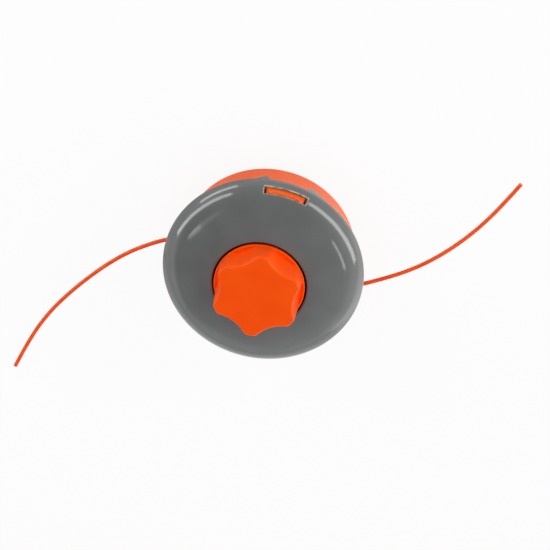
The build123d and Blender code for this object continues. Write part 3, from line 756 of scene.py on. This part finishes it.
def leg_shell(middle):
    """Snap leg: its hooked section swept through a small angle, with each end closed onto a point in it."""
    turns = np.linspace(middle - LEG_HALF, middle + LEG_HALF, 9)
    section = np.vstack([LEG_SECTION, LEG_SECTION[:1]])
    walls = turned_points(section[:, :1], section[:, 1:], turns)
    heart_r, heart_z = np.tile(LEG_HEART, (len(section), 1)).T[:, :, None]
    heart = turned_points(heart_r, heart_z, turns[[0, -1]])
    points = np.concatenate([heart[:, :1], walls, heart[:, 1:]], axis=1)
    return points, quads(*points.shape[:2])[:, :-1]


leg_middles = LOBE_PHASE + np.pi / LOBES + np.arange(LEG_COUNT) * 2 * np.pi / LEG_COUNT
knob_shells = [knob_shell, *map(leg_shell, leg_middles)]
new_piece("scalloped_knob", knob_shells, knob_finish, "spool", "bump_knob", sharp_deg=55)

# %% [markdown]
# ## Housing and spool
# The housing is one moulding with its hub, ribs, ratchet, latch tongue and hook, and the spool one with its
# flanges and teeth. Their solids already have the true form, so they keep it: a copy of each mesh is merged
# into one skin, shaded smooth on its round faces and crisp on its edges. The triangles of each level face are
# joined, and normals are weighted by area, so that a large flat face looks flat right up to its edge.

# %% Housing and spool
def join_level_faces(mesh):
    """Joins the triangles of each level face, so that a large flat face counts with its whole area."""
    work = bmesh.new()
    work.from_mesh(mesh)
    level = {face for face in work.faces if abs(face.normal.z) > 0.9999}
    level_edges = [edge for edge in work.edges if level.issuperset(edge.link_faces)]
    bmesh.ops.dissolve_limit(work, angle_limit=np.radians(0.2), verts=[], edges=level_edges)
    work.to_mesh(mesh)
    work.free()


def dressed_copy(name, node_name, finish, body, sharp_deg=25):
    """Copy of a solid's mesh with its loose triangles merged, and smooth shading up to sharp_deg."""
    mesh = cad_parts[node_name].data.copy()
    mesh.name = name
    mesh.materials.clear()
    mesh.materials.append(finish)
    smooth_mesh(mesh, sharp_deg)
    join_level_faces(mesh)
    made = bpy.data.objects.new(name, mesh)
    bpy.context.scene.collection.objects.link(made)
    weighted = made.modifiers.new("large_faces_first", "WEIGHTED_NORMAL")
    weighted.keep_sharp = True
    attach(made, body)
    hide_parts(node_name)
    print(name, len(mesh.polygons), "faces,", round(volume_mm3(mesh)), "mm3")


dressed_copy("ribbed_housing", "upper_housing", housing_finish, "housing")
dressed_copy("line_spool", "spool", spool_finish, "spool")

# %% [markdown]
# ## Steel and aluminium pieces
# The arbor screws into a steel insert with an M10 x 1.25 left-hand thread. Its bore is one surface whose
# radius follows a triangle wave of height and angle: radius = minor + depth * wave(z / pitch + a / 2 pi).
# The wave is cut off above and below, so crests and roots are flat. The plus sign makes it left-handed.
# A hexagon's radius is half its width across flats over the cosine of the angle from the nearest flat.

# %% Arbor insert
FLATS, INSERT_FOOT, INSERT_TOP, EDGE_CUT = 16.0, 0.5, 22.0, 0.4
THREAD_PITCH, THREAD_MINOR, THREAD_DEPTH, LEAD_IN = 1.25, 4.324, 0.65, 1.0
insert_angles = np.radians(np.arange(0, 360, 5.0))
bore_z = np.linspace(INSERT_FOOT, INSERT_TOP, 190)[:, None]
turn = (bore_z / THREAD_PITCH + insert_angles / (2 * np.pi)) % 1
thread = np.clip(1.6 * np.abs(2 * turn - 1) - 0.3, 0, 1)
mouth = np.maximum(THREAD_MINOR + LEAD_IN - (bore_z - INSERT_FOOT), 0)
bore_r = np.maximum(THREAD_MINOR + THREAD_DEPTH * thread, mouth)
from_flat = (insert_angles + np.pi / 6) % (np.pi / 3) - np.pi / 6
hexagon = FLATS / 2 / np.cos(from_flat)
side_r = np.stack([hexagon - EDGE_CUT, hexagon, hexagon, hexagon - EDGE_CUT])
side_z = np.array([[INSERT_TOP], [INSERT_TOP - EDGE_CUT], [INSERT_FOOT + EDGE_CUT], [INSERT_FOOT]])
insert_r = np.vstack([bore_r, side_r])
insert_z = np.vstack([bore_z, side_z]) * np.ones_like(insert_angles)
insert_points = turned_points(insert_r, insert_z, insert_angles + np.pi / 6)
insert_shells = [(insert_points, quads(*insert_r.shape, closed=True))]
new_piece("threaded_insert", insert_shells, insert_finish, "housing", "drive_insert", sharp_deg=30)

# %% [markdown]
# The spring is round wire wound on a screw line, and the eyelets and the washer are turned rings. A circle
# carried along the screw line gives the wire: at each step it is set out by the outward direction and by the
# direction square to the line's slope.

# %% Spring
SPRING_FOOT, SPRING_TOP, SPRING_R, WIRE_R, SPRING_TURNS = 7.05, 37.85, 13.2, 0.7, 5.5
share = np.linspace(0, 1, 400)[:, None]
spin = 2 * np.pi * SPRING_TURNS * share
round_wire = np.linspace(0, 2 * np.pi, 14, endpoint=False)
climb = (SPRING_TOP - SPRING_FOOT - 2 * WIRE_R) / (2 * np.pi * SPRING_TURNS)
lean = np.arctan2(climb, SPRING_R)
fat = np.append(np.append(0, np.ones(len(share) - 2)), 0)[:, None] * WIRE_R
out, up = fat * np.cos(round_wire), fat * np.sin(round_wire)
radial = SPRING_R + out
wire_points = np.stack([
    radial * np.cos(spin) + up * np.sin(lean) * np.sin(spin),
    radial * np.sin(spin) - up * np.sin(lean) * np.cos(spin),
    SPRING_FOOT + WIRE_R + climb * spin + up * np.cos(lean),
], axis=-1)
spring_shells = [(wire_points, quads(len(share), len(round_wire)))]
spring = new_piece("wire_spring", spring_shells, spring_finish, "housing", "compression_spring")
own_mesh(spring)

# %% Eyelets and washer
EYELET_SEAT, EYELET_Z = 50.703, 23.5
EYELET_CORNERS = [
    (4.2, 0), (5.2, 0), (5.2, 1.2), (2.6, 1.2), (2.6, -3.92),
    (4.6, -3.92), (4.6, -3.12), (3.8, -3.12), (3.8, 0), (4.2, 0),
]
EYELET_ROUNDS = [0.25, 0.5, 0.9, 0.75, 0.25, 0.15, 0.1, 0.1]
WASHER_CORNERS = [(13.0, 37.9), (16.0, 37.9), (16.0, 39.1), (11.35, 39.1), (11.35, 37.9), (13.0, 37.9)]
WASHER_ROUND = 0.15


def turned_ring(corners, rounds, steps, columns):
    """Points and quads of a ring: a closed outline with rounded corners, carried round the axis."""
    outline = rounded(corners, rounds, steps)[:-1]
    points = turned_points(outline[:, :1], outline[:, 1:], np.linspace(0, 2 * np.pi, columns, endpoint=False))
    return points, quads(*points.shape[:2], closed=True)


eyelet_points, eyelet_faces = turned_ring(EYELET_CORNERS, EYELET_ROUNDS, 7, 64)
x, y, z = np.moveaxis(eyelet_points, -1, 0)
for side, name in ((1, "left"), (-1, "right")):
    placed = np.stack([side * (EYELET_SEAT + z), side * x, EYELET_Z + y], axis=-1)
    new_piece(
        f"turned_eyelet_{name}", [(placed, eyelet_faces)], eyelet_finish, "housing",
        f"line_eyelet_{name}",
    )
washer_shells = [turned_ring(WASHER_CORNERS, [WASHER_ROUND] * 4, 4, 128)]
new_piece("steel_washer", washer_shells, spring_finish, "thrust", "thrust_washer")

# %% [markdown]
# ## Wound line
# Each channel of the spool holds line wound side by side. One surface can show all the turns: its radius is
# that of the half-round turns, and the turns' phase runs on with the angle, so that they climb like a screw.

# %% Wound line
WINDING_IN, WINDING_OUT, WOUND_D, TURNS_HIGH = 24.15, 42.4, 2.4, 4
winding_angles = np.radians(np.arange(0, 360, 3.0))
core_r = np.full((1, len(winding_angles)), WINDING_IN)
for foot, name in ((18.8, "lower"), (31.0, "upper")):
    top = foot + TURNS_HIGH * WOUND_D
    level = np.linspace(foot, top, 61)[:, None]
    phase = ((level - foot) / WOUND_D - winding_angles / (2 * np.pi)) % 1
    bulge = np.sqrt(np.maximum(1 - (2 * phase - 1) ** 2, 0))
    turns_r = WINDING_OUT - WOUND_D / 2 * (1 - bulge)
    wound_r = np.vstack([core_r, turns_r, core_r])
    wound_z = np.vstack([[[foot]], level, [[top]]]) * np.ones_like(winding_angles)
    wound = (turned_points(wound_r, wound_z, winding_angles), quads(*wound_r.shape, closed=True))
    node_name = f"line_winding_{name}"
    new_piece(f"wound_line_{name}", [wound], line_finish, "spool", node_name, sharp_deg=60)

# %% [markdown]
# ## Studio
# A product like this is photographed in a white tent. Two soft boxes draw the bright arcs on the cover's
# shoulder, thin leaning strips draw the smaller ones, and a polarised lamp overhead brings out the colours
# without a reflection of its own. The tent is white near the floor and brighter on the picture's right.
# The floor is matte. Through the Light Path node the camera sees it nearly white, with a soft shadow left,
# and reflections show it with more of its shadow. On one side it glows in reflections only, several times
# white: a painted reflection that draws a pale band on the cover's rim, where no lamp stands.

# %% Floor
FLOOR_HALF = 4.0
floor_mesh = bpy.data.meshes.new("studio_floor")
floor_corners = FLOOR_HALF * np.array([(-1, -1, 0), (1, -1, 0), (1, 1, 0), (-1, 1, 0)])
floor_mesh.from_pydata(floor_corners.tolist(), [], [(0, 1, 2, 3)])
floor = bpy.data.objects.new("studio_floor", floor_mesh)
bpy.context.scene.collection.objects.link(floor)
floor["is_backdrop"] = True
print("floor is", 2 * FLOOR_HALF, "m wide")

# %% Floor finish
WHITE_SEEN, WHITE_MIRRORED = 0.9, 0.2  # share of white for the camera and in reflections
GLOW_SIDE = (-1.0, -0.8, 0.0)  # where reflections show the floor brighter
GLOW, GLOW_FROM, GLOW_FULL = 6.8, 0.02, 0.12  # how much, and where it starts and is full, in m
floor_finish = bpy.data.materials.new("matte_white_floor")
floor_finish.use_nodes = True
tree = floor_finish.node_tree
tree.nodes.remove(tree.nodes["Principled BSDF"])
path = add(tree, "ShaderNodeLightPath").outputs
mirrored = maths(tree, "ADD", path["Is Glossy Ray"], path["Is Transmission Ray"], clamp=True)
place = add(tree, "ShaderNodeTexCoord").outputs["Object"]
aside = add(
    tree, "ShaderNodeVectorMath", settings={"operation": "DOT_PRODUCT"}, values={1: GLOW_SIDE},
    links={0: place},
).outputs["Value"]
# Painted reflection: in reflections only, the floor glows up to GLOW more times white towards GLOW_SIDE,
# lighting the cover's rim there
glow = ranged(tree, aside, 0.0, GLOW, GLOW_FROM, GLOW_FULL, smooth=True)
strength = maths(tree, "MULTIPLY_ADD", mirrored, glow, 1.0)
white = add(tree, "ShaderNodeEmission", values={"Color": linear("FFFFFF")}, links={"Strength": strength})
matte = add(tree, "ShaderNodeBsdfDiffuse", values={"Color": linear("F4F4F4")})
mirrored_white = maths(tree, "MULTIPLY", mirrored, WHITE_MIRRORED)
share_white = maths(tree, "MULTIPLY_ADD", path["Is Camera Ray"], WHITE_SEEN, mirrored_white)
mix = add(tree, "ShaderNodeMixShader", links={0: share_white, 1: matte.outputs[0], 2: white.outputs[0]})
tree.links.new(mix.outputs[0], tree.nodes["Material Output"].inputs["Surface"])
floor_mesh.materials.append(floor_finish)
print("floor finish:", floor_finish.name)

# %% Tent
world = bpy.data.worlds.new("white_tent")
bpy.context.scene.world = world
world.use_nodes = True
tree = world.node_tree
direction = add(tree, "ShaderNodeTexCoord").outputs["Generated"]
towards = add(tree, "ShaderNodeSeparateXYZ", links={0: direction}).outputs
roof = ranged(tree, towards["Z"], 0.95, 0.2, 0.1, 0.8, smooth=True)
side = ranged(tree, towards["X"], 1.5, 0.2, -1.0, 1.0)
wall = ranged(tree, towards["Z"], 1.0, 0.0, 0.2, 0.4)
level = maths(tree, "MAXIMUM", maths(tree, "MULTIPLY", roof, side), wall)
tree.nodes["Background"].inputs["Color"].default_value = linear("FFFFFF")
tree.links.new(level, tree.nodes["Background"].inputs["Strength"])
print("tent:", world.name)

# %% Lamps
# Name, direction round the axis and above the floor and lean in degrees, width and height in m, radiance
SOFT_BOXES = (
    ("soft_box_left", -12, 18, -19, 1.32, 0.16, 5.7),
    ("soft_box_right", -147, 19, 16, 1.5, 0.19, 6.0),
    ("strip_left_high", 12, 40, -40, 0.26, 0.09, 2.9),
    ("strip_left_fading", 1, 45, -33, 0.5, 0.1, 0.8),
    ("strip_right_high", -174.5, 41, 32, 0.47, 0.1, 4.5),
    ("strip_left_low", -32, 7.5, -8, 0.72, 0.1, 6.5),
    ("polarised_top", -90, 89, 0, 1.2, 1.2, 1.47),
)
LAMP_AWAY = 1.2
for name, round_deg, above_deg, lean_deg, wide, high, radiance in SOFT_BOXES:
    lamp = bpy.data.lights.new(name, "AREA")
    lamp.shape = "RECTANGLE"
    lamp.size = wide
    lamp.size_y = high
    lamp.energy = radiance * np.pi * wide * high
    box = bpy.data.objects.new(name, lamp)
    box.visible_glossy = name != "polarised_top"
    bpy.context.scene.collection.objects.link(box)
    turn, lift, lean = np.radians((round_deg, above_deg, lean_deg))
    away = np.array([np.cos(turn) * np.cos(lift), np.sin(turn) * np.cos(lift), np.sin(lift)])
    level_side = np.array([-np.sin(turn), np.cos(turn), 0.0])
    long_side = np.cos(lean) * level_side + np.sin(lean) * np.cross(away, level_side)
    axes = np.column_stack([long_side, np.cross(away, long_side), away, RIM_CENTRE + LAMP_AWAY * away])
    box.matrix_world = Matrix(np.vstack([axes, [0, 0, 0, 1]]).tolist())
    print(name, round(lamp.energy, 1), "W")

# %% [markdown]
# ## Finish
# Standard view shows colours as they are written. The box of the dressed head, with the hidden solids and the
# floor left out, is printed.

# %% Finish
bpy.context.scene.view_settings.view_transform = "Standard"
bpy.context.view_layer.update()
low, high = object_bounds()
print("dressed box in mm:", [round(x / MM, 1) for x in (*low, *high)])
